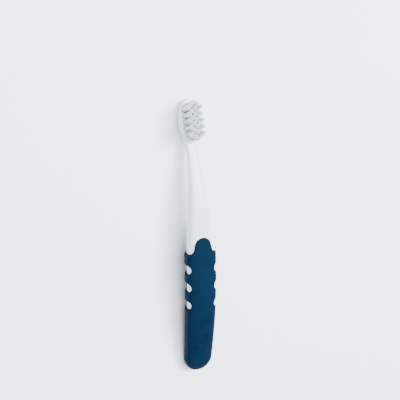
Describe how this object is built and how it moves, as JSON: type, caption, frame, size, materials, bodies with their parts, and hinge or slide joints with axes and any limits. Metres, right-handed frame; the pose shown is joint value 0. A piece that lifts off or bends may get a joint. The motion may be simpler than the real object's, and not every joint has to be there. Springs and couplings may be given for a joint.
{
  "type": "pet toothbrush",
  "caption": "Slim arched pet toothbrush: white moulded core with an oval head of staggered bristle tufts, and a soft dark blue grip with a tongue and finger notches down each side.",
  "frame": {"origin": "middle of the underside of the brush's box as it lies on its back, bristles up", "axes": "+Y from the butt to the brush head, +Z the bristle side, +X to the right seen from the bristle side"},
  "size_m": [0.0184, 0.1631, 0.0193],
  "materials": {
    "white_core": "satin white moulded polypropylene",
    "navy_grip": "matte dark blue soft-touch thermoplastic rubber",
    "bristle": "translucent white nylon bristles",
    "anchor_metal": "bare nickel silver strip"
  },
  "bodies": {
    "root": {"grip_overmould": "navy_grip", "handle_core": "white_core", "tuft_anchors": "anchor_metal", "tuft_c1_r1": "bristle", "tuft_c1_r2": "bristle", "tuft_c1_r3": "bristle", "tuft_c1_r4": "bristle", "tuft_c1_r5": "bristle", "tuft_c2_r1": "bristle", "tuft_c2_r2": "bristle", "tuft_c2_r3": "bristle", "tuft_c2_r4": "bristle", "tuft_c2_r5": "bristle", "tuft_c2_r6": "bristle", "tuft_c3_r1": "bristle", "tuft_c3_r2": "bristle", "tuft_c3_r3": "bristle", "tuft_c3_r4": "bristle", "tuft_c3_r5": "bristle", "tuft_c3_r6": "bristle", "tuft_c3_r7": "bristle", "tuft_c4_r1": "bristle", "tuft_c4_r2": "bristle", "tuft_c4_r3": "bristle", "tuft_c4_r4": "bristle", "tuft_c4_r5": "bristle", "tuft_c4_r6": "bristle", "tuft_c5_r1": "bristle", "tuft_c5_r2": "bristle", "tuft_c5_r3": "bristle", "tuft_c5_r4": "bristle", "tuft_c5_r5": "bristle"}
  },
  "joints": []
}
